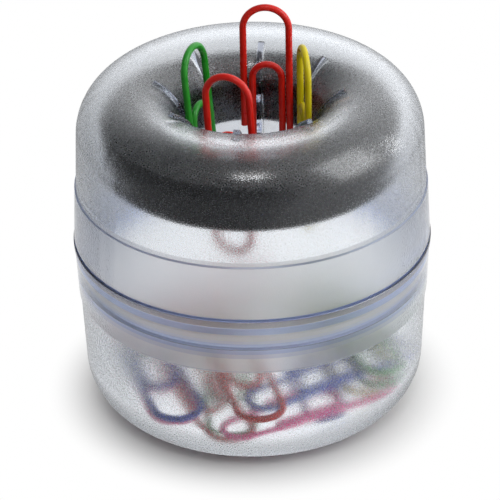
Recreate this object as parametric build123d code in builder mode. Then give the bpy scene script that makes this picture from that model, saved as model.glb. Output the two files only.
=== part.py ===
import os
from math import cos, radians, sin, sqrt, tan

from build123d import *

os.makedirs("parts", exist_ok=True)

# Both mouldings, sizes in millimetres.
rim_radius = 30.0
seam_height = 30.6
crest_height = 58.4
wall = 1.9
draft = radians(2.5)
band_height = 9.9
band_step = 0.25

# Cup.
base_corner = 8.4
foot_width = 3.2
foot_recess = 0.5
bead_height = 1.3
bead_step = 0.15
rim_round = 0.3

# Plug ring of the lid in the counterbored rim of the cup.
plug_depth = 5.6
plug_lead = 2.3
plug_taper_share = 0.4
plug_fit = 0.06
plug_end_gap = 0.2
seat_gap = 0.02

# Shoulder, funnel and throat of the lid.
shoulder_radius = 8.7
neck = 11.06
throat_length = 7.8
throat_draft = radians(1.0)
throat_chamfer = 0.5
fin_count = 8
fin_thickness = 1.1
fin_height = 0.65
fin_top_angle = radians(27.0)

# Ring magnet and the crush ribs that grip its bore.
magnet_thickness = 7.6
magnet_side_gap = 2.4
magnet_bore_gap = 0.34
magnet_chamfer = 0.5
magnet_seat_gap = 0.05
crush_rib_width = 1.1
crush_rib_fit = 0.03
crush_rib_lead = 1.0

# Paper clips.
wire = 1.15
clip_length = 33.0
clip_width = 8.75
inner_loop_drop = 10.5
free_side_gap = 0.3
closed_side_gap = 0.1
outer_end_share = 0.32
inner_end_share = 0.28
clip_clearance = 0.1
heap_clearance = 0.05
layer_gap = 0.12

# Frosted surfaces of cup and lid lean in from the seam, the cup downwards and the lid upwards.
frost_seam_radius = rim_radius - bead_step - band_step


def frost_radius(height):
    return frost_seam_radius - abs(height - seam_height) * tan(draft)


# Rounded base of the cup.
corner_x = frost_radius(base_corner) - base_corner / cos(draft)
inner_corner = base_corner - wall
lap = (wall + band_step + bead_step) / 2
counterbore = rim_radius - lap
ledge_height = seam_height - plug_depth - plug_end_gap
cup_band_foot = seam_height - band_height
bead_foot = seam_height - bead_height
foot_inside = corner_x - foot_width

with BuildPart() as cup:
    with BuildSketch(Plane.XZ) as cup_half:
        with BuildLine():
            Polyline(
                (0, wall),
                (0, foot_recess),
                (foot_inside - foot_recess, foot_recess),
                (foot_inside, 0),
                (corner_x, 0),
            )
            RadiusArc(
                (corner_x, 0),
                (corner_x + base_corner * cos(draft), base_corner - base_corner * sin(draft)),
                -base_corner,
            )
            Polyline(
                (corner_x + base_corner * cos(draft), base_corner - base_corner * sin(draft)),
                (frost_radius(cup_band_foot), cup_band_foot),
                (frost_radius(cup_band_foot) + band_step, cup_band_foot + band_step),
                (frost_radius(bead_foot) + band_step, bead_foot),
                (frost_radius(bead_foot) + band_step + bead_step, bead_foot + bead_step),
                (rim_radius, seam_height - rim_round),
                (rim_radius - rim_round, seam_height),
                (counterbore, seam_height),
                (counterbore, ledge_height),
                (frost_radius(ledge_height) - wall / cos(draft), ledge_height),
                (corner_x + inner_corner * cos(draft), base_corner - inner_corner * sin(draft)),
            )
            RadiusArc(
                (corner_x + inner_corner * cos(draft), base_corner - inner_corner * sin(draft)),
                (corner_x, wall),
                inner_corner,
            )
            Line((corner_x, wall), (0, wall))
        make_face()
    revolve(axis=Axis.Z)
cup.part.label = "cup"
export_step(cup.part, "parts/cup.step")

# Shoulder and funnel arcs share the crest circle.
lid_foot = seam_height + seat_gap
lid_band_top = seam_height + band_height
shoulder_z = crest_height - shoulder_radius
crest_x = frost_radius(shoulder_z) - shoulder_radius / cos(draft)
funnel_radius = crest_x - neck
funnel_z = crest_height - funnel_radius
under_shoulder = shoulder_radius - wall
under_funnel = funnel_radius - wall
tube_radius = neck + wall
throat_end = funnel_z - throat_length
throat_radius = neck - throat_length * tan(throat_draft)
lid_inside = frost_radius(lid_foot) - wall / cos(draft)
plug_radius = counterbore - plug_fit
plug_lead_in = lap * plug_taper_share
plug_foot = lid_foot - plug_depth

# The magnet rises on the tube until its bore edge meets the underside of the funnel.
bore_radius = tube_radius + magnet_bore_gap
magnet_radius = frost_radius(shoulder_z) - wall - magnet_side_gap
seat_drop = sqrt(under_funnel**2 - (crest_x - bore_radius) ** 2)
magnet_top = funnel_z + seat_drop + magnet_chamfer - magnet_seat_gap
magnet_foot = magnet_top - magnet_thickness


def upright_plane(angle):
    return Plane(
        origin=(0, 0, 0),
        x_dir=(cos(radians(angle)), sin(radians(angle)), 0),
        z_dir=(sin(radians(angle)), -cos(radians(angle)), 0),
    )


with BuildPart() as lid:
    with BuildSketch(Plane.XZ) as lid_half:
        with BuildLine():
            Polyline(
                (plug_radius, lid_foot),
                (frost_radius(lid_foot) + band_step - rim_round, lid_foot),
                (frost_radius(lid_foot) + band_step, lid_foot + rim_round),
                (frost_radius(lid_band_top) + band_step, lid_band_top - band_step),
                (frost_radius(lid_band_top), lid_band_top),
                (crest_x + shoulder_radius * cos(draft), shoulder_z + shoulder_radius * sin(draft)),
            )
            RadiusArc(
                (crest_x + shoulder_radius * cos(draft), shoulder_z + shoulder_radius * sin(draft)),
                (crest_x, crest_height),
                -shoulder_radius,
            )
            RadiusArc((crest_x, crest_height), (neck, funnel_z), -funnel_radius)
            Polyline(
                (neck, funnel_z),
                (throat_radius, throat_end + throat_chamfer),
                (throat_radius + throat_chamfer, throat_end),
                (tube_radius, throat_end),
                (tube_radius, funnel_z),
            )
            RadiusArc((tube_radius, funnel_z), (crest_x, crest_height - wall), under_funnel)
            RadiusArc(
                (crest_x, crest_height - wall),
                (crest_x + under_shoulder * cos(draft), shoulder_z + under_shoulder * sin(draft)),
                under_shoulder,
            )
            Polyline(
                (crest_x + under_shoulder * cos(draft), shoulder_z + under_shoulder * sin(draft)),
                (lid_inside, lid_foot),
                (lid_inside, plug_foot),
                (plug_radius - plug_lead_in, plug_foot),
                (plug_radius, plug_foot + plug_lead),
                (plug_radius, lid_foot),
            )
        make_face()
    revolve(axis=Axis.Z)
    # Fins follow the funnel and run down the throat, each cut square at its top end.
    for k in range(fin_count):
        with BuildSketch(upright_plane(k * 360 / fin_count)) as fin:
            with BuildLine():
                edge = funnel_radius + fin_height
                root = funnel_radius - wall / 2
                s = sin(fin_top_angle)
                c = cos(fin_top_angle)
                Line((crest_x - root * s, funnel_z + root * c), (crest_x - edge * s, funnel_z + edge * c))
                RadiusArc((crest_x - edge * s, funnel_z + edge * c), (crest_x - edge, funnel_z), -edge)
                Polyline(
                    (crest_x - edge, funnel_z),
                    (throat_radius - fin_height, throat_end + fin_height + throat_chamfer),
                    (throat_radius, throat_end + throat_chamfer),
                    (crest_x - root, throat_end + throat_chamfer),
                    (crest_x - root, funnel_z),
                )
                RadiusArc((crest_x - root, funnel_z), (crest_x - root * s, funnel_z + root * c), root)
            make_face()
        extrude(amount=fin_thickness / 2, both=True)
    # Crush ribs stand on the outside of the tube, one behind each fin.
    for k in range(fin_count):
        with BuildSketch(upright_plane(k * 360 / fin_count)) as crush_rib:
            with BuildLine():
                Polyline(
                    (tube_radius - wall / 2, throat_end),
                    (tube_radius, throat_end),
                    (bore_radius - crush_rib_fit, throat_end + crush_rib_lead),
                    (bore_radius - crush_rib_fit, funnel_z),
                    (tube_radius, funnel_z + seat_drop / 2),
                    (tube_radius - wall / 2, funnel_z),
                    close=True,
                )
            make_face()
        extrude(amount=crush_rib_width / 2, both=True)
lid.part.label = "lid"
export_step(lid.part, "parts/lid.step")

with BuildPart() as ring_magnet:
    with BuildSketch(Plane.XZ) as magnet_half:
        with Locations(((magnet_radius + bore_radius) / 2, (magnet_top + magnet_foot) / 2)):
            Rectangle(magnet_radius - bore_radius, magnet_thickness)
        chamfer(magnet_half.vertices(), magnet_chamfer)
    revolve(axis=Axis.Z)
ring_magnet.part.label = "ring_magnet"
export_step(ring_magnet.part, "parts/ring_magnet.step")

# One bent wire: outer loop at the top, long leg, lower loop, then the inner loop.
outer_bend = (clip_width - wire) / 2
lower_bend = outer_bend - (wire + free_side_gap) / 2
inner_left = outer_bend - 2 * lower_bend
inner_right = outer_bend - wire - closed_side_gap
inner_bend = (inner_right - inner_left) / 2
outer_centre = clip_length / 2 - wire / 2 - outer_bend
lower_centre = lower_bend + wire / 2 - clip_length / 2
inner_centre = clip_length / 2 - wire / 2 - inner_loop_drop - inner_bend
outer_end = clip_length * (outer_end_share - 0.5)
inner_end = clip_length * (inner_end_share - 0.5)


def bend_clip(name, place):
    with BuildPart() as clip:
        with BuildLine(place) as bent:
            Line((-outer_bend, outer_end), (-outer_bend, outer_centre))
            SagittaArc((-outer_bend, outer_centre), (outer_bend, outer_centre), outer_bend)
            Line((outer_bend, outer_centre), (outer_bend, lower_centre))
            SagittaArc((outer_bend, lower_centre), (inner_left, lower_centre), lower_bend)
            Line((inner_left, lower_centre), (inner_left, inner_centre))
            SagittaArc((inner_left, inner_centre), (inner_right, inner_centre), inner_bend)
            Line((inner_right, inner_centre), (inner_right, inner_end))
        with BuildSketch(Plane(origin=bent.line @ 0, z_dir=bent.line % 0)):
            Circle(wire / 2)
        sweep(path=bent.line)
    clip.part.label = name
    export_step(clip.part, "parts/" + name + ".step")


# Standing clips lean on the fins or on the throat between them. Each is set by the way its flat side faces,
# its reach from the axis, its share of the room to the side, its lean outwards and sideways in degrees, and
# the share of its length that rises above the crest.
throat_room = throat_radius - wire / 2 - clip_clearance


def side_shift(share):
    return share * (throat_room - outer_bend)


# A leg of the clip touches the throat at its narrow end.
def reach_to_wall(share):
    return sqrt(throat_room**2 - (side_shift(share) + outer_bend) ** 2)


# The clip stands between two fins and touches both, or the nearer one where it is turned to it.
def reach_to_fins(radius, turn):
    aside = radians(180 / fin_count - turn)
    corner = (radius - fin_height) * cos(aside) - fin_thickness / 2 * sin(aside)
    return corner - wire / 2 - clip_clearance


def between_fins(k):
    return (k + 0.5) * 360 / fin_count


def stand_clip(name, facing, reach, side_share, lean_out, lean_side, rise_share):
    out = Vector(cos(radians(facing)), sin(radians(facing)), 0)
    side = Vector(sin(radians(facing)), -cos(radians(facing)), 0)
    rise = Vector(0, 0, 1) * cos(radians(lean_out)) + out * sin(radians(lean_out))
    along = rise * cos(radians(lean_side)) + side * sin(radians(lean_side))
    across = side * cos(radians(lean_side)) - rise * sin(radians(lean_side))
    at_neck = out * reach + side * side_shift(side_share) + Vector(0, 0, funnel_z)
    top = crest_height + rise_share * clip_length
    middle = at_neck + along * ((top - funnel_z) / along.Z - clip_length / 2)
    bend_clip(name, Plane(origin=middle, x_dir=across, z_dir=across.cross(along)))


stand_clip("clip_red_back", 93.0, reach_to_wall(0.34), 0.34, 0.0, 0.0, 0.306)
stand_clip("clip_red_front", 256.0, reach_to_wall(0.13), -0.06, 0.0, 3.0, 0.18)
stand_clip("clip_green", between_fins(3) + 5, reach_to_fins(neck, 5), 0.0, 5.0, 0.0, 0.148)
stand_clip("clip_yellow", between_fins(0) - 6, reach_to_fins(throat_radius, 6), 0.08, 0.0, 0.0, 0.176)


# Loose clips lie in layers on the floor of the cup, two to a layer, head to tail on either side of a line
# through the middle. Each has its shares of the room that is left to the side and along.
def layer_room(height):
    if height >= base_corner:
        return frost_radius(height) - wall / cos(draft) - wire / 2 - heap_clearance
    reach = inner_corner - wire / 2 - heap_clearance
    return corner_x + sqrt(max(0, reach**2 - (base_corner - height) ** 2))


def lay_clip(name, layer, heading, side_share, end_share):
    height = wall + heap_clearance + wire / 2 + layer * (wire + layer_gap)
    along = Vector(cos(radians(heading)), sin(radians(heading)), 0)
    across = Vector(sin(radians(heading)), -cos(radians(heading)), 0)
    room = layer_room(height) - outer_bend
    nearest = (clip_width + layer_gap) / 2
    farthest = sqrt(room**2 - outer_centre**2)
    offset = nearest + side_share * (farthest - nearest)
    slide = end_share * (sqrt(room**2 - offset**2) - outer_centre)
    middle = across * offset + along * slide + Vector(0, 0, height)
    bend_clip(name, Plane(origin=middle, x_dir=across, z_dir=across.cross(along)))


heap = (
    (102, ("loose_blue_low", 0.8, 0.0), ("loose_green_low", 0.1, 1.0)),
    (120, ("loose_yellow_low", 0.8, 0.3), ("loose_red_left", 0.6, 1.0)),
    (37, ("loose_pink_right", 0.94, 0.5), ("loose_green_back", 0.8, 0.3)),
    (114, ("loose_green_right", 0.9, 0.0), ("loose_pink_left", 0.94, 0.5)),
    (117, ("loose_yellow_top", 0.8, 0.6), ("loose_blue_left", 0.94, 0.5)),
    (42, ("loose_blue_right", 0.75, 1.0), ("loose_red_top", 0.9, 0.3)),
    (111, ("loose_green_front", 0.9, -0.6), ("loose_red_middle", 0.0, 1.0)),
)
for layer, (heading, ahead, astern) in enumerate(heap):
    lay_clip(ahead[0], layer, heading, ahead[1], ahead[2])
    lay_clip(astern[0], layer, heading + 180, astern[1], astern[2])
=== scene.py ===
import math

import bmesh
import bpy
from mathutils import Matrix, Vector


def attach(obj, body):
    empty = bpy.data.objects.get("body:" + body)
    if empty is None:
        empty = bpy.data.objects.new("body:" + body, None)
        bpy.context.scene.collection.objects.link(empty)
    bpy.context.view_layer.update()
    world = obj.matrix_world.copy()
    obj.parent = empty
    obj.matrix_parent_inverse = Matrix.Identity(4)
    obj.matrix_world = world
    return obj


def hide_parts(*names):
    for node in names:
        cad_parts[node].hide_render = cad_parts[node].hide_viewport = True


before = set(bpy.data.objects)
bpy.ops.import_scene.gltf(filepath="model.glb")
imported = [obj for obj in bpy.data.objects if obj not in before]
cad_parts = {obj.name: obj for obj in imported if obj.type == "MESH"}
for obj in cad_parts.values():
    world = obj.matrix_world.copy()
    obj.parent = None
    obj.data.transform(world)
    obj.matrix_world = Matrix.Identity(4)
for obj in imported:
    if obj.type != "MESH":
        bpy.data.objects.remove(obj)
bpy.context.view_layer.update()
scene = bpy.context.scene
mm = 0.001
tiny = 1e-6

# the two mouldings: sizes in millimetres, shared by cup and lid
moulding = {
    "rimRadius": 30.0,
    "seamHeight": 30.6,
    "wall": 1.9,
    "draft": math.radians(2.5),
    "bandHeight": 9.9,
    "bandStep": 0.25,
    "beadStep": 0.15,
    "plugDepth": 5.6,
    "plugFit": 0.06,
}
frostSeamRadius = moulding["rimRadius"] - moulding["beadStep"] - moulding["bandStep"]
lap = (moulding["wall"] + moulding["bandStep"] + moulding["beadStep"]) / 2
counterbore = moulding["rimRadius"] - lap

# skin of each zone of a moulding: roughness, frost's grain, blue tint, shade; the shade is painted shade,
# darkening the groove at the bead, the stripe, the bands, the fold and the fins
finish = {
    "frosted": (0.18, 0.45, 0.0, 0.0),
    "polished": (0.05, 0.0, 0.0, 0.0),
    "core": (0.10, 0.0, 0.0, 0.0),
    "bandCore": (0.40, 0.5, 0.0, 0.12),
    "cupCore": (0.40, 0.5, 0.0, 0.0),
    "edge": (0.35, 0.0, 0.7, 0.0),
    "fold": (0.80, 0.0, 0.5, 0.2),
    "ribbon": (0.10, 0.0, 1.0, 0.0),
    "seam": (0.90, 0.0, 1.0, 0.0),
    "bead": (0.10, 0.0, 0.0, 0.8),
    "plug": (0.50, 0.0, 1.0, 0.0),
    "fade": (0.50, 0.3, 0.5, 0.1),
    "stripe": (0.40, 0.3, 0.0, 0.4),
    "funnel": (0.20, 0.6, 0.0, 0.0),
    "gully": (0.20, 0.6, 0.0, 0.0),
    "fin": (0.12, 0.0, 0.5, 0.25),
    "throat": (0.10, 0.0, 0.0, 0.0),
    "tube": (0.12, 0.0, 0.0, 0.0),
}
skinLayers = ("matt", "grain", "tint", "shade")
ridgeZones = ("gully", "throat")  # where a ridge takes the fin's skin
ridgeShare = 0.5  # and above which share of its height


def frostRadius(height):
    return frostSeamRadius - abs(height - moulding["seamHeight"]) * math.tan(moulding["draft"])


def clamp(value):
    return min(max(value, 0), 1)


# rounds the corners of an outline: (radius, height, fillet, arc steps, zone of the run after it)
# of two points nearer than doubled, one is kept
def roundOutline(corners, closed, doubled=0.002):
    points = []
    count = len(corners)
    for i, (r, z, fillet, steps, zone) in enumerate(corners):
        here = Vector((r, z))
        zoneBefore = corners[i - 1][4]
        if fillet == 0 or (not closed and i in (0, count - 1)):
            points.append((r, z, zone))
            continue
        toLast = (Vector(corners[i - 1][:2]) - here).normalized()
        toNext = (Vector(corners[(i + 1) % count][:2]) - here).normalized()
        half = toLast.angle(toNext) / 2
        centre = here + (toLast + toNext).normalized() * (fillet / math.sin(half))
        first = here + toLast * (fillet / math.tan(half)) - centre
        turn = first.angle_signed(here + toNext * (fillet / math.tan(half)) - centre)
        for k in range(steps + 1):
            spoke = Vector(first)
            spoke.rotate(Matrix.Rotation(-turn * k / steps, 2))
            points.append((*(centre + spoke), zoneBefore if 2 * k < steps else zone))
    kept = points[:1]
    for last, point in zip(points, points[1:]):
        if math.dist(point[:2], last[:2]) > doubled:
            kept.append(point)
    return kept


# rows beside each end of a long run keep the shading flat between the fillets
def addSupportRows(points, closed, margin=0.12, longRun=1.0):
    rows = []
    last = len(points) if closed else len(points) - 1
    for i in range(last):
        here = Vector(points[i][:2])
        away = Vector(points[(i + 1) % len(points)][:2]) - here
        rows.append(points[i])
        if away.length > longRun:
            for share in (margin / away.length, 0.5, 1 - margin / away.length):
                rows.append((*(here + away * share), points[i][2]))
    if not closed:
        rows.append(points[-1])
    return rows


# turns rows of (radius, height, zone) about the axis; shape gives a point's radius, height and angle
def turnMesh(name, rows, columns, closed, shape=None):
    bm = bmesh.new()
    layers = [bm.faces.layers.float.new(layer) for layer in skinLayers]
    rings = []
    for row in rows:
        if row[0] < tiny:
            rings.append([bm.verts.new((0, 0, row[1] * mm))] * len(columns))
            continue
        ring = []
        for column in columns:
            radius, height, angle = shape(row, column) if shape else (row[0], row[1], column[0])
            point = Vector((radius * math.cos(angle), radius * math.sin(angle), height))
            ring.append(bm.verts.new(point * mm))
        rings.append(ring)
    rowCount = len(rings) if closed else len(rings) - 1
    for i in range(rowCount):
        low = rings[i]
        high = rings[(i + 1) % len(rings)]
        for j in range(len(columns)):
            n = (j + 1) % len(columns)
            corners = list(dict.fromkeys((low[j], low[n], high[n], high[j])))
            face = bm.faces.new(corners)
            face.smooth = True
            zone = rows[i][2]
            if zone in ridgeZones and min(columns[j][2], columns[n][2]) > ridgeShare:
                zone = "fin"
            for layer, value in zip(layers, finish[zone]):
                face[layer] = value
    bmesh.ops.recalc_face_normals(bm, faces=bm.faces)
    mesh = bpy.data.meshes.new(name)
    bm.to_mesh(mesh)
    bm.free()
    piece = bpy.data.objects.new(name, mesh)
    scene.collection.objects.link(piece)
    return piece


# cup: frosted outside, polished band and bead under the rim, counterbore for the lid's plug
cup = {
    "baseCorner": 8.4,
    "footWidth": 3.2,
    "footRecess": 0.5,
    "footRound": 0.3,
    "beadHeight": 1.3,
    "beadLean": 0.05,
    "ribbonHeight": 1.2,
    "ledgeTint": 1.3,
    "fadeBelow": 2.1,
    "coreBelow": 0.9,
    "rimRound": 0.3,
    "ledgeGap": 0.2,
    "edge": 0.12,
    "columns": 192,
}


def buildCup():
    seam = moulding["seamHeight"]
    wall = moulding["wall"]
    slope = math.tan(moulding["draft"])
    lean = math.cos(moulding["draft"])
    bandFoot = seam - moulding["bandHeight"]
    coreFoot = bandFoot - cup["coreBelow"]
    beadFoot = seam - cup["beadHeight"]
    ribbonFoot = beadFoot - cup["ribbonHeight"]
    ledge = seam - moulding["plugDepth"] - cup["ledgeGap"]
    cornerX = frostRadius(cup["baseCorner"]) - cup["baseCorner"] / lean
    footInside = cornerX - cup["footWidth"]
    innerWall = frostRadius(ledge) - wall / lean
    recess = cup["footRecess"]
    edge = cup["edge"]
    band = moulding["bandStep"]
    rim = moulding["rimRadius"]
    corners = [
        (0, recess, 0, 1, "core"),
        (footInside - recess, recess, cup["footRound"], 3, "frosted"),
        (footInside, 0, cup["footRound"], 3, "frosted"),
        (frostRadius(0), 0, cup["baseCorner"], 20, "frosted"),
        (frostRadius(bandFoot), bandFoot, edge, 3, "fold"),
        (frostRadius(bandFoot) + band, bandFoot + band, edge, 3, "polished"),
        (frostRadius(ribbonFoot) + band, ribbonFoot, 0, 1, "ribbon"),
        (frostRadius(beadFoot) + band, beadFoot, edge, 3, "edge"),
        (rim - cup["beadLean"], beadFoot + moulding["beadStep"], edge, 3, "bead"),
        (rim, seam, cup["rimRound"], 5, "seam"),
        (counterbore, seam, edge, 3, "core"),
        (counterbore, ledge, edge, 3, "plug"),
        (innerWall, ledge, edge, 3, "plug"),
        (innerWall - cup["ledgeTint"] * slope, ledge - cup["ledgeTint"], 0, 1, "fade"),
        (innerWall - cup["fadeBelow"] * slope, ledge - cup["fadeBelow"], 0, 1, "cupCore"),
        (innerWall - (ledge - coreFoot) * slope, coreFoot, 0, 1, "core"),
        (innerWall - (ledge - wall) * slope, wall, cup["baseCorner"] - wall, 16, "core"),
        (0, wall, 0, 1, "core"),
    ]
    rows = addSupportRows(roundOutline(corners, False), False)
    columns = [(2 * math.pi * k / cup["columns"],) for k in range(cup["columns"])]
    return turnMesh("cup_moulding", rows, columns, False)


# lid: polished band, frosted wall and shoulder, funnel with fins, throat tube with crush ribs, plug ring
lid = {
    "crestHeight": 58.4,
    "seatGap": 0.02,
    "rimRound": 0.3,
    "seamLine": 0.5,
    "shoulderRadius": 8.7,
    "neck": 11.06,
    "throatLength": 7.8,
    "throatDraft": math.radians(1.0),
    "throatRound": 0.4,
    "throatEase": 0.01,
    "plugLead": 2.3,
    "plugTaper": 0.46,
    "plugRound": 0.3,
    "plugTint": 0.8,
    "fadeTop": 1.4,
    "stripeTop": 2.7,
    "edge": 0.12,
    "funnelRows": 36,
    "columnsBetween": 20,
}
fin = {
    "count": 8,
    "width": 1.1,
    "height": 0.65,
    "topAngle": math.radians(27.0),
    "foot": 0.9,
    "round": 0.14,
    "sideStep": 0.03,
    "sideShares": (0.0, 0.06, 0.82, 1.0),
}
crushRib = {"height": 0.31, "lead": 1.0}


# columns across a fin and the crush rib behind it: how far beside the middle, and the share of the height
def ridgeColumns(angle):
    half = fin["width"] / 2
    step = fin["sideStep"]
    sides = (half + fin["round"], half + step, half - step, half - fin["round"])
    left = [(angle, -side, share) for side, share in zip(sides, fin["sideShares"])]
    right = [(angle, side, share) for side, share in zip(sides, fin["sideShares"])]
    return left + right[::-1]


def buildLid():
    seam = moulding["seamHeight"]
    wall = moulding["wall"]
    slope = math.tan(moulding["draft"])
    lean = math.cos(moulding["draft"])
    band = moulding["bandStep"]
    foot = seam + lid["seatGap"]
    bandTop = seam + moulding["bandHeight"]
    seamTop = foot + lid["seamLine"]
    crest = lid["crestHeight"]
    crestX = frostRadius(crest - lid["shoulderRadius"]) - lid["shoulderRadius"] / lean
    funnelRadius = crestX - lid["neck"]
    funnelZ = crest - funnelRadius
    throatEnd = funnelZ - lid["throatLength"]
    throatRadius = lid["neck"] - lid["throatLength"] * math.tan(lid["throatDraft"])
    tubeRadius = lid["neck"] + wall
    straightFoot = throatEnd + lid["throatRound"]
    under = crest - wall
    inside = frostRadius(foot) - wall / lean
    plugRadius = counterbore - moulding["plugFit"]
    plugFoot = foot - moulding["plugDepth"]
    taper = lid["plugTaper"] / lid["plugLead"]
    taperFoot = plugRadius - lid["plugTaper"]
    edge = lid["edge"]
    cut = fin["topAngle"]
    nudge = fin["round"] / funnelRadius
    rise = nudge / 2
    angles = [math.pi / 2 * k / lid["funnelRows"] for k in range(lid["funnelRows"] + 1)]
    angles = [angle for angle in angles if abs(angle - cut) > 2 * nudge]
    angles = sorted(angles + [cut - rise / 2, cut + rise / 2, cut + nudge])
    funnel = []
    for angle in angles:
        zone = "funnel" if angle < cut else "gully"
        radius = crestX - funnelRadius * math.sin(angle)
        funnel.append((radius, funnelZ + funnelRadius * math.cos(angle), 0, 1, zone))
    corners = [
        (plugRadius, foot, edge, 3, "seam"),
        (frostRadius(foot) + band, foot, lid["rimRound"], 5, "seam"),
        (frostRadius(seamTop) + band, seamTop, 0, 1, "polished"),
        (frostRadius(bandTop) + band, bandTop - band, edge, 3, "edge"),
        (frostRadius(bandTop), bandTop, edge, 3, "frosted"),
        (frostRadius(crest), crest, lid["shoulderRadius"], 28, "frosted"),
        *funnel,
        (throatRadius - lid["throatEase"], throatEnd + 2 * fin["foot"], 0, 1, "throat"),
        (throatRadius, throatEnd, lid["throatRound"], 4, "tube"),
        (tubeRadius, throatEnd, lid["throatRound"], 4, "tube"),
        (tubeRadius, throatEnd + crushRib["lead"], 0, 1, "tube"),
        (tubeRadius, under, funnelRadius - wall, 20, "core"),
        (inside - (under - foot) * slope, under, lid["shoulderRadius"] - wall, 20, "core"),
        (inside - (bandTop - foot) * slope, bandTop, 0, 1, "bandCore"),
        (inside, foot, 0, 1, "bandCore"),
        (inside, plugFoot, lid["plugRound"], 3, "plug"),
        (taperFoot, plugFoot, lid["plugRound"], 3, "plug"),
        (taperFoot + lid["plugTint"] * taper, plugFoot + lid["plugTint"], 0, 1, "fade"),
        (taperFoot + lid["fadeTop"] * taper, plugFoot + lid["fadeTop"], 0, 1, "stripe"),
        (plugRadius, plugFoot + lid["plugLead"], edge, 3, "stripe"),
        (plugRadius, plugFoot + lid["stripeTop"], 0, 1, "core"),
    ]
    rows = addSupportRows(roundOutline(corners, True), True)
    pitch = 2 * math.pi / fin["count"]
    start = math.asin(fin["width"] / lid["neck"])
    gap = (pitch - 2 * start) / lid["columnsBetween"]
    columns = []
    for k in range(fin["count"]):
        columns += ridgeColumns(k * pitch)
        columns += [(k * pitch + start + gap * n, 0, 0) for n in range(lid["columnsBetween"] + 1)]

    def raiseRidge(row, column):
        radius, height, zone = row
        angle, side, share = column
        angle += math.asin(side / radius)
        if zone in ("funnel", "gully"):
            tilt = math.atan2(crestX - radius, height - funnelZ)
            lift = fin["height"] * share * clamp((tilt - cut + rise / 2) / rise)
            radius -= lift * math.sin(tilt)
            height += lift * math.cos(tilt)
        elif zone == "throat":
            radius -= fin["height"] * share * clamp((height - straightFoot) / fin["foot"])
        elif zone == "tube" and height <= funnelZ + tiny and radius > tubeRadius - tiny:
            radius += crushRib["height"] * share * clamp((height - straightFoot) / crushRib["lead"])
        return radius, height, angle

    return turnMesh("lid_moulding", rows, columns, True, raiseRidge)


def addNode(tree, kind, **values):
    node = tree.nodes.new(kind)
    for key, value in values.items():
        setattr(node, key, value)
    return node


def startTree(owner, outputKind):
    owner.use_nodes = True
    tree = owner.node_tree
    tree.nodes.clear()
    return tree, addNode(tree, outputKind)


def newMaterial(name):
    material = bpy.data.materials.new(name)
    tree, out = startTree(material, "ShaderNodeOutputMaterial")
    shader = addNode(tree, "ShaderNodeBsdfPrincipled")
    tree.links.new(shader.outputs["BSDF"], out.inputs["Surface"])
    return material, tree, shader, out


# maps a value from one span to another
def addRange(tree, value, fromSpan, toSpan=(0, 1), smooth=False):
    span = addNode(tree, "ShaderNodeMapRange")
    span.interpolation_type = "SMOOTHSTEP" if smooth else "LINEAR"
    names = ("From Min", "From Max", "To Min", "To Max")
    for name, number in zip(names, (*fromSpan, *toSpan)):
        span.inputs[name].default_value = number
    tree.links.new(value, span.inputs["Value"])
    return span.outputs["Result"]


# noise in object space, its usual values mapped to a range
def addNoise(tree, scale, detail, toSpan=(0, 1), usual=(0.3, 0.7)):
    place = addNode(tree, "ShaderNodeTexCoord")
    noise = addNode(tree, "ShaderNodeTexNoise")
    noise.inputs["Scale"].default_value = scale
    noise.inputs["Detail"].default_value = detail
    tree.links.new(place.outputs["Object"], noise.inputs["Vector"])
    return addRange(tree, noise.outputs["Fac"], usual, toSpan)


# a number among the values is set on its socket
def addMath(tree, operation, *values):
    node = addNode(tree, "ShaderNodeMath", operation=operation)
    for socket, value in zip(node.inputs, values):
        if isinstance(value, float):
            socket.default_value = value
        else:
            tree.links.new(value, socket)
    return node.outputs["Value"]


def readLayer(tree, name):
    return addNode(tree, "ShaderNodeAttribute", attribute_name=name).outputs["Fac"]


def mixColours(tree, share, first, second):
    mix = addNode(tree, "ShaderNodeMix", data_type="RGBA")
    for socket, value in ((mix.inputs["A"], first), (mix.inputs["B"], second)):
        if isinstance(value, tuple):
            socket.default_value = value
        else:
            tree.links.new(value, socket)
    tree.links.new(share, mix.inputs["Factor"])
    return mix.outputs["Result"]


def addBump(tree, shader, height, distance):
    bump = addNode(tree, "ShaderNodeBump")
    bump.inputs["Distance"].default_value = distance
    tree.links.new(height, bump.inputs["Height"])
    tree.links.new(bump.outputs["Normal"], shader.inputs["Normal"])
    return bump


# clear acrylic with a faint blue body; each face's layers set its matt, grain, tint and painted shade
plastic = {
    "ior": 1.49,
    "grainScale": 4200.0,
    "grainDetail": 0.0,
    "grainDepth": 1.6e-5,
    "speckColour": (0.94, 0.95, 0.96, 1),
    "edgeTint": (0.38, 0.48, 0.84, 1),
    # painted shade: faces with a shade layer are darkened towards this colour
    "paintedShadeColour": (0.22, 0.18, 0.18, 1),
    "cloudScale": 220.0,
    "cloudDetail": 3.0,
    "cloudDark": (0.98, 0.99, 1, 1),
    "cloudLight": (1, 1, 1, 1),
    "mattSpread": 0.01,
    "mattGrain": 0.25,
    "bodyColour": (0.56, 0.69, 0.88, 1),
    "bodyDensity": 50.0,
}


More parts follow.
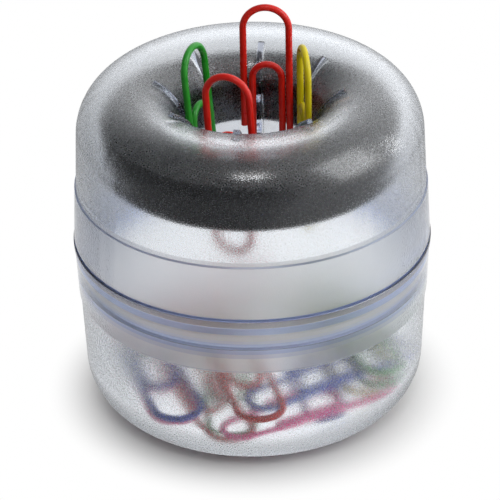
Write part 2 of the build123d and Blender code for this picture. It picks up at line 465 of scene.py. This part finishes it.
def makePlastic():
    material, tree, shader, out = newMaterial("frosted_acrylic")
    link = tree.links.new
    shader.inputs["IOR"].default_value = plastic["ior"]
    shader.inputs["Transmission Weight"].default_value = 1.0
    cloud = addNoise(tree, plastic["cloudScale"], plastic["cloudDetail"])
    stipple = addNoise(tree, plastic["grainScale"], plastic["grainDetail"])
    matt, grain, tint, shade = (readLayer(tree, layer) for layer in skinLayers)
    speck = addMath(tree, "MULTIPLY", grain, stipple)
    uneven = addMath(tree, "MULTIPLY_ADD", cloud, plastic["mattSpread"], matt)
    rough = addMath(tree, "MULTIPLY_ADD", speck, plastic["mattGrain"], uneven)
    link(rough, shader.inputs["Roughness"])
    bump = addBump(tree, shader, stipple, plastic["grainDepth"])
    link(grain, bump.inputs["Strength"])
    colour = mixColours(tree, cloud, plastic["cloudDark"], plastic["cloudLight"])
    # the shade layer paints shade into the colour: the groove, stripe, bands, fold and fins go darker
    for share, layerColour in ((speck, "speckColour"), (tint, "edgeTint"), (shade, "paintedShadeColour")):
        colour = mixColours(tree, share, colour, plastic[layerColour])
    link(colour, shader.inputs["Base Color"])
    body = addNode(tree, "ShaderNodeVolumeAbsorption")
    body.inputs["Color"].default_value = plastic["bodyColour"]
    body.inputs["Density"].default_value = plastic["bodyDensity"]
    link(body.outputs["Volume"], out.inputs["Volume"])
    return material


# sintered ferrite: dark grey, grainy, with paler rubbed specks
ferrite = {
    "dark": (0.006, 0.006, 0.007, 1),
    "light": (0.016, 0.016, 0.018, 1),
    "speck": (0.045, 0.045, 0.048, 1),
    "specular": 0.3,
    "grainScale": 2600.0,
    "grainDetail": 2.0,
    "grainDepth": 6e-5,
    "patchScale": 180.0,
    "patchDetail": 4.0,
    "speckFrom": (0.85, 1.0),
    "matt": (0.42, 0.62),
    "mattDetail": 2.0,
}


def makeFerrite():
    material, tree, shader, _ = newMaterial("black_ferrite")
    link = tree.links.new
    patch = addNoise(tree, ferrite["patchScale"], ferrite["patchDetail"])
    grain = addNoise(tree, ferrite["grainScale"], ferrite["grainDetail"])
    ground = mixColours(tree, patch, ferrite["dark"], ferrite["light"])
    speck = addRange(tree, grain, ferrite["speckFrom"])
    link(mixColours(tree, speck, ground, ferrite["speck"]), shader.inputs["Base Color"])
    rough = addNoise(tree, ferrite["patchScale"], ferrite["mattDetail"], ferrite["matt"])
    link(rough, shader.inputs["Roughness"])
    shader.inputs["Specular IOR Level"].default_value = ferrite["specular"]
    addBump(tree, shader, grain, ferrite["grainDepth"])
    return material


# vinyl coat of the clips: fresh colour, colour of thin and rubbed places
coats = {
    "red": ((0.52, 0.005, 0.002, 1), (0.60, 0.014, 0.006, 1)),
    "green": ((0.012, 0.22, 0.014, 1), (0.03, 0.29, 0.03, 1)),
    "yellow": ((0.52, 0.43, 0.002, 1), (0.60, 0.50, 0.01, 1)),
    "blue": ((0.005, 0.045, 0.36, 1), (0.010, 0.06, 0.42, 1)),
    "pink": ((0.82, 0.07, 0.28, 1), (0.87, 0.11, 0.34, 1)),
}
coat = {
    "patchScale": 420.0,
    "patchDetail": 3.0,
    "peelScale": 1500.0,
    "peelDetail": 1.0,
    "peelDepth": 2.5e-5,
    "matt": (0.26, 0.42),
    "specular": 0.35,
}


def makeCoat(colourName):
    material, tree, shader, _ = newMaterial(colourName + "_vinyl")
    fresh, thin = coats[colourName]
    patch = addNoise(tree, coat["patchScale"], coat["patchDetail"])
    tree.links.new(mixColours(tree, patch, fresh, thin), shader.inputs["Base Color"])
    rough = addNoise(tree, coat["patchScale"], coat["patchDetail"], coat["matt"])
    tree.links.new(rough, shader.inputs["Roughness"])
    shader.inputs["Specular IOR Level"].default_value = coat["specular"]
    addBump(tree, shader, addNoise(tree, coat["peelScale"], coat["peelDetail"]), coat["peelDepth"])
    return material


cupPiece = buildCup()
lidPiece = buildLid()
plasticSkin = makePlastic()
for piece, body in ((cupPiece, "cup"), (lidPiece, "lid")):
    piece.data.materials.append(plasticSkin)
    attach(piece, body)
    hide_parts(body)
print("mouldings built:", len(cupPiece.data.polygons), "and", len(lidPiece.data.polygons), "faces")

coatSkins = {colourName: makeCoat(colourName) for colourName in coats}
ferriteSkin = makeFerrite()
for node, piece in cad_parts.items():
    if node == "ring_magnet":
        piece.data.materials.clear()
        piece.data.materials.append(ferriteSkin)
    for colourName, skin in coatSkins.items():
        if "_" + colourName in node:
            piece.data.materials.clear()
            piece.data.materials.append(skin)
print("materials set on", len(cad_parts), "nodes")

# studio: pale floor, soft dome, broad lamps; the floor's spans are in metres from the middle
studio = {
    "floorSize": 3.0,
    "floorColour": (0.86, 0.86, 0.86, 1),
    # painted shade: the floor that the camera sees near the foot is darker than the rest
    "floorPaintedShade": (0.5, 0.5, 0.5, 1),
    "whiteSpan": (0.022, 0.036),
    "floorThrough": 1.15,
    "floorGloss": 0.9,
    # painted light and shade on the floor seen in gloss and plastic: dimmer in front, far off, in a ring
    # at the foot and on the left, brighter on the right
    "aheadSpan": (0.03, 0.07),
    "frontPaintedShade": 0.5,
    "farSpan": (0.05, 0.11),
    "farPaintedShade": 0.7,
    "footInner": (0.019, 0.025),
    "footOuter": (0.026, 0.038),
    "footPaintedShadow": 0.62,
    "sideSpan": (-0.05, 0.12),
    "leftPaintedShade": 0.85,
    "rightPaintedLight": 1.1,
    "domeSpan": (-0.9, 0.6),  # from the bright side to the dark
    "domeBack": 1.45,
    "domeFront": 0.18,
    "domeTurn": math.radians(55.0),
    "lampAim": 0.03,
    "bounces": 32,
}
camera = {
    "azimuth": math.radians(8.0),
    "elevation": math.radians(30.49),
    "distance": 0.5522,
    "aimHeight": 0.02653,
    "aimSide": -0.00042,
    "roll": math.radians(-1.166),
    "lens": 235.9,
    "sensor": 36.0,
    "clipStart": 0.01,
}
# level directions: to the camera, to its right and to the dome's dark side
toCamera = Vector((math.sin(camera["azimuth"]), -math.cos(camera["azimuth"]), 0))
toRight = Vector((math.cos(camera["azimuth"]), math.sin(camera["azimuth"]), 0))
toDark = toCamera * math.cos(studio["domeTurn"]) - toRight * math.sin(studio["domeTurn"])


def mixShaders(tree, share, first, second):
    mix = addNode(tree, "ShaderNodeMixShader")
    for socket, value in zip(mix.inputs, (share, first, second)):
        tree.links.new(value, socket)
    return mix.outputs["Shader"]


# how far a place lies along a direction
def measureAlong(tree, place, direction):
    dot = addNode(tree, "ShaderNodeVectorMath", operation="DOT_PRODUCT")
    dot.inputs[1].default_value = direction
    tree.links.new(place, dot.inputs[0])
    return dot.outputs["Value"]


# the camera sees the foot's shadow on a floor painted darker round the foot (painted shade) and white
# beyond it;
# gloss and clear plastic see the floor glow white, with painted shade: dimmed in front, far off, at the
# foot and on the left
def makeFloorSkin():
    material = bpy.data.materials.new("pale_floor")
    tree, out = startTree(material, "ShaderNodeOutputMaterial")
    path = addNode(tree, "ShaderNodeLightPath").outputs
    place = addNode(tree, "ShaderNodeTexCoord").outputs["Object"]
    reach = addNode(tree, "ShaderNodeVectorMath", operation="LENGTH")
    tree.links.new(place, reach.inputs[0])
    away = reach.outputs["Value"]
    plain = addNode(tree, "ShaderNodeBsdfDiffuse")
    plain.inputs["Color"].default_value = studio["floorColour"]
    # painted shade: a darker diffuse floor round the foot
    shaded = addNode(tree, "ShaderNodeBsdfDiffuse")
    shaded.inputs["Color"].default_value = studio["floorPaintedShade"]
    white = addNode(tree, "ShaderNodeEmission")
    through = addNode(tree, "ShaderNodeEmission")
    pale = addRange(tree, away, studio["whiteSpan"], smooth=True)
    seen = mixShaders(tree, pale, shaded.outputs["BSDF"], white.outputs["Emission"])
    direct = mixShaders(tree, path["Is Camera Ray"], plain.outputs["BSDF"], seen)
    # painted light and shade for gloss and plastic: the glowing floor dims in front, far off, in a ring
    # at the foot (painted shadow) and on the left, and brightens on the right
    ahead = measureAlong(tree, place, toDark)
    side = measureAlong(tree, place, toRight)
    footShadowDim = studio["footPaintedShadow"]
    inner = addRange(tree, away, studio["footInner"], (1, footShadowDim), smooth=True)
    outer = addRange(tree, away, studio["footOuter"], (footShadowDim, 1), smooth=True)
    strengths = (studio["floorGloss"], studio["floorThrough"])
    strength = addRange(tree, path["Is Transmission Ray"], (0, 1), strengths)
    for dim in (
        addRange(tree, ahead, studio["aheadSpan"], (1, studio["frontPaintedShade"]), smooth=True),
        addRange(tree, away, studio["farSpan"], (1, studio["farPaintedShade"]), smooth=True),
        addMath(tree, "MAXIMUM", inner, outer),
        addRange(tree, side, studio["sideSpan"], (studio["leftPaintedShade"], studio["rightPaintedLight"])),
    ):
        strength = addMath(tree, "MULTIPLY", strength, dim)
    tree.links.new(strength, through.inputs["Strength"])
    bent = addMath(tree, "MAXIMUM", path["Is Transmission Ray"], path["Is Glossy Ray"])
    skin = mixShaders(tree, bent, direct, through.outputs["Emission"])
    tree.links.new(skin, out.inputs["Surface"])
    return material


def buildFloor():
    bm = bmesh.new()
    bmesh.ops.create_grid(bm, x_segments=1, y_segments=1, size=studio["floorSize"] / 2)
    mesh = bpy.data.meshes.new("floor")
    bm.to_mesh(mesh)
    bm.free()
    mesh.materials.append(makeFloorSkin())
    floor = bpy.data.objects.new("floor", mesh)
    scene.collection.objects.link(floor)


# bright at the back right, dark at the front left, white to the camera
def buildDome():
    world = bpy.data.worlds.new("studio_dome")
    scene.world = world
    tree, out = startTree(world, "ShaderNodeOutputWorld")
    glow = addNode(tree, "ShaderNodeBackground")
    glow.inputs["Color"].default_value = (1, 1, 1, 1)
    path = addNode(tree, "ShaderNodeLightPath")
    place = addNode(tree, "ShaderNodeTexCoord")
    facing = measureAlong(tree, place.outputs["Generated"], toDark)
    strengths = (studio["domeBack"], studio["domeFront"])
    light = addRange(tree, facing, studio["domeSpan"], strengths, smooth=True)
    shown = addMath(tree, "MAXIMUM", path.outputs["Is Camera Ray"], light)
    tree.links.new(shown, glow.inputs["Strength"])
    tree.links.new(glow.outputs["Background"], out.inputs["Surface"])


def addLamp(name, place, size, radiance):
    data = bpy.data.lights.new(name, "AREA")
    data.shape = "RECTANGLE"
    data.size, data.size_y = size
    data.energy = radiance * math.pi * size[0] * size[1]
    lamp = bpy.data.objects.new(name, data)
    lamp.location = place
    aim = Vector((0, 0, studio["lampAim"]))
    lamp.rotation_euler = (place - aim).to_track_quat("Z", "Y").to_euler()
    scene.collection.objects.link(lamp)


def addCamera():
    back = toCamera * math.cos(camera["elevation"]) + Vector((0, 0, math.sin(camera["elevation"])))
    up = back.cross(toRight)
    c = math.cos(camera["roll"])
    s = math.sin(camera["roll"])
    xAxis = toRight * c + up * s
    yAxis = up * c - toRight * s
    aim = Vector((0, 0, camera["aimHeight"])) + toRight * camera["aimSide"]
    place = aim + back * camera["distance"]
    data = bpy.data.cameras.new("camera")
    data.lens = camera["lens"]
    data.sensor_width = camera["sensor"]
    data.clip_start = camera["clipStart"]
    eye = bpy.data.objects.new("camera", data)
    eye.matrix_world = Matrix((
        (xAxis.x, yAxis.x, back.x, place.x),
        (xAxis.y, yAxis.y, back.y, place.y),
        (xAxis.z, yAxis.z, back.z, place.z),
        (0, 0, 0, 1),
    ))
    scene.collection.objects.link(eye)
    scene.camera = eye


# softboxes: place by side, towards the camera and up, aim at the holder's middle
lamps = {
    "softbox_right": {"side": 0.42, "front": 0.12, "up": 0.30, "size": (0.30, 0.40), "radiance": 3.2},
    "softbox_top": {"side": 0.0, "front": 0.34, "up": 0.52, "size": (0.14, 0.10), "radiance": 13.0},
    "strip_right": {"side": 0.43, "front": -0.13, "up": 0.14, "size": (0.02, 0.25), "radiance": 9.0},
}
for name, lamp in lamps.items():
    place = toRight * lamp["side"] + toCamera * lamp["front"] + Vector((0, 0, lamp["up"]))
    addLamp(name, place, lamp["size"], lamp["radiance"])
buildFloor()
buildDome()
addCamera()
scene.cycles.max_bounces = studio["bounces"]
scene.cycles.transmission_bounces = studio["bounces"]
scene.view_settings.view_transform = "Standard"
print("studio ready")
